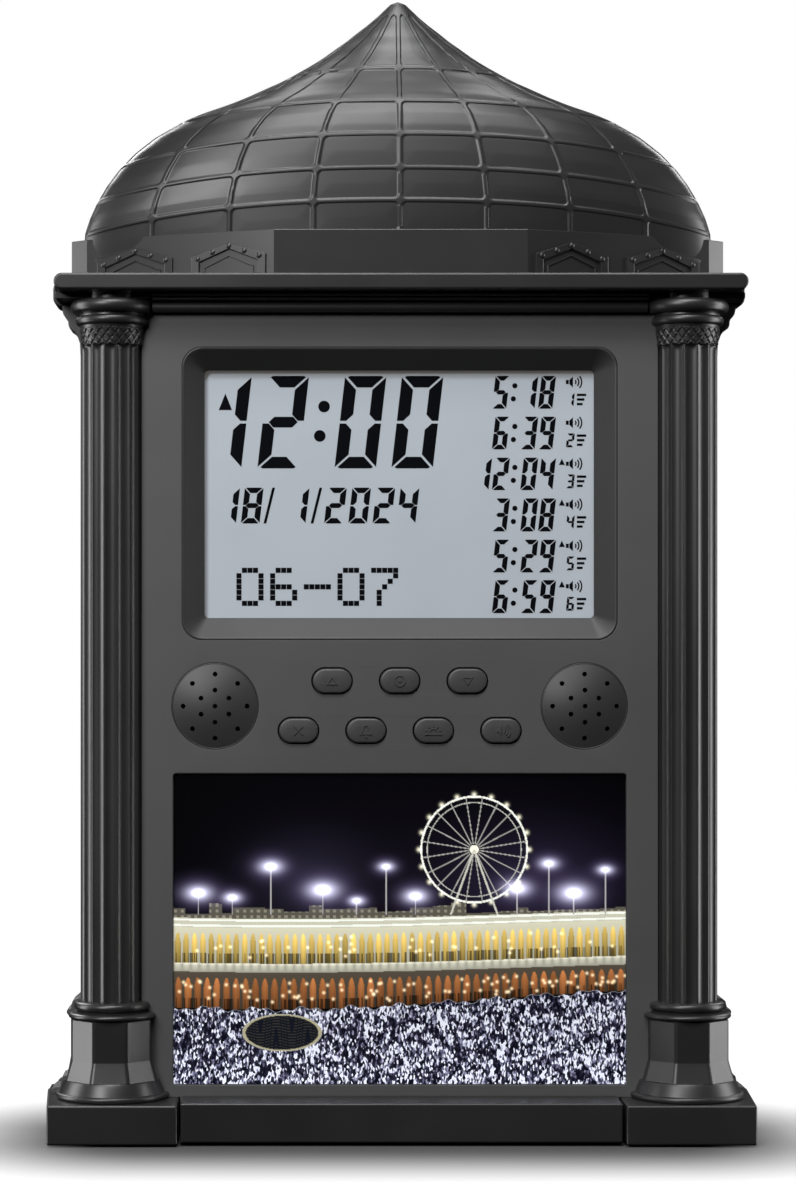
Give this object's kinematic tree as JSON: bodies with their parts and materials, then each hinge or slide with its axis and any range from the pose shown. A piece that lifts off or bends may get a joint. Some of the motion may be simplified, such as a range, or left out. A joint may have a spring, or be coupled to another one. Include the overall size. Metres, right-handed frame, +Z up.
{
  "type": "azan clock",
  "caption": "Gateway-shaped prayer-time clock: ogee dome, fluted columns, digital display, keys, loudspeakers and a picture panel.",
  "frame": {"origin": "centre of the underside, on the surface the rubber feet stand on", "axes": "+Z up, front with the display towards -Y, +X to the right of someone facing the front"},
  "size_m": [0.2356, 0.05, 0.3788],
  "materials": {
    "shell_black": "satin",
    "panel_grey": "satin",
    "key_grey": "satin",
    "clear_window": "gloss",
    "lcd_grey": "satin",
    "diffuser_white": "satin",
    "holder_black": "matte",
    "rubber_black": "matte",
    "board_green": "satin",
    "chip_black": "matte",
    "plain_steel": "satin",
    "printed_card": "gloss",
    "cell_jacket": "gloss",
    "cone_paper": "matte",
    "magnet_dark": "satin",
    "lead_red": "satin",
    "lead_grey": "satin"
  },
  "bodies": {
    "clock_body": {"amplifier_chip": "chip_black", "base_bar": "shell_black", "battery_cell_1": "cell_jacket", "battery_cell_2": "cell_jacket", "battery_cell_3": "cell_jacket", "battery_contacts": "plain_steel", "battery_lead": "lead_red", "battery_springs": "plain_steel", "board_screws": "plain_steel", "capacitors": "chip_black", "case_screws": "plain_steel", "clock_chip": "chip_black", "column_left": "shell_black", "column_right": "shell_black", "cornice": "shell_black", "crystal": "plain_steel", "dome_shell": "shell_black", "front_housing": "panel_grey", "keypad_board": "board_green", "keypad_ribbon": "lead_grey", "keypad_screws": "plain_steel", "lcd_backlight": "diffuser_white", "lcd_bezel": "panel_grey", "lcd_contact_strips": "rubber_black", "lcd_glass": "lcd_grey", "lcd_holder": "holder_black", "lcd_window": "clear_window", "main_board": "board_green", "parapet": "shell_black", "picture_card": "printed_card", "picture_window": "clear_window", "plinth_left": "shell_black", "plinth_right": "shell_black", "rear_cover": "shell_black", "rubber_feet": "rubber_black", "sound_memory_chip": "chip_black", "speaker_clamp_left": "holder_black", "speaker_clamp_right": "holder_black", "speaker_cone_left": "cone_paper", "speaker_cone_right": "cone_paper", "speaker_frame_left": "plain_steel", "speaker_frame_right": "plain_steel", "speaker_grille_left": "shell_black", "speaker_grille_right": "shell_black", "speaker_lead_left": "lead_grey", "speaker_lead_right": "lead_grey", "speaker_magnet_left": "magnet_dark", "speaker_magnet_right": "magnet_dark", "tact_switches": "chip_black"},
    "button_up_key": {"button_up": "key_grey"},
    "button_set_key": {"button_set": "key_grey"},
    "button_down_key": {"button_down": "key_grey"},
    "button_exit_key": {"button_exit": "key_grey"},
    "button_alarm_key": {"button_alarm": "key_grey"},
    "button_prayer_key": {"button_prayer": "key_grey"},
    "button_sound_key": {"button_sound": "key_grey"},
    "door": {"battery_door": "shell_black"}
  },
  "joints": [
    {"name": "button_up_press", "type": "slide", "parent": "clock_body", "child": "button_up_key", "axis": [0, 1, 0], "range_m": [0, 0.0008], "stiffness_N_per_m": 500},
    {"name": "button_set_press", "type": "slide", "parent": "clock_body", "child": "button_set_key", "axis": [0, 1, 0], "range_m": [0, 0.0008], "stiffness_N_per_m": 500},
    {"name": "button_down_press", "type": "slide", "parent": "clock_body", "child": "button_down_key", "axis": [0, 1, 0], "range_m": [0, 0.0008], "stiffness_N_per_m": 500},
    {"name": "button_exit_press", "type": "slide", "parent": "clock_body", "child": "button_exit_key", "axis": [0, 1, 0], "range_m": [0, 0.0008], "stiffness_N_per_m": 500},
    {"name": "button_alarm_press", "type": "slide", "parent": "clock_body", "child": "button_alarm_key", "axis": [0, 1, 0], "range_m": [0, 0.0008], "stiffness_N_per_m": 500},
    {"name": "button_prayer_press", "type": "slide", "parent": "clock_body", "child": "button_prayer_key", "axis": [0, 1, 0], "range_m": [0, 0.0008], "stiffness_N_per_m": 500},
    {"name": "button_sound_press", "type": "slide", "parent": "clock_body", "child": "button_sound_key", "axis": [0, 1, 0], "range_m": [0, 0.0008], "stiffness_N_per_m": 500},
    {"name": "battery_door_hinge", "type": "hinge", "parent": "clock_body", "child": "door", "pos_m": [0, 0.0239, 0.0853], "axis": [1, 0, 0], "range_deg": [0, 85]}
  ]
}
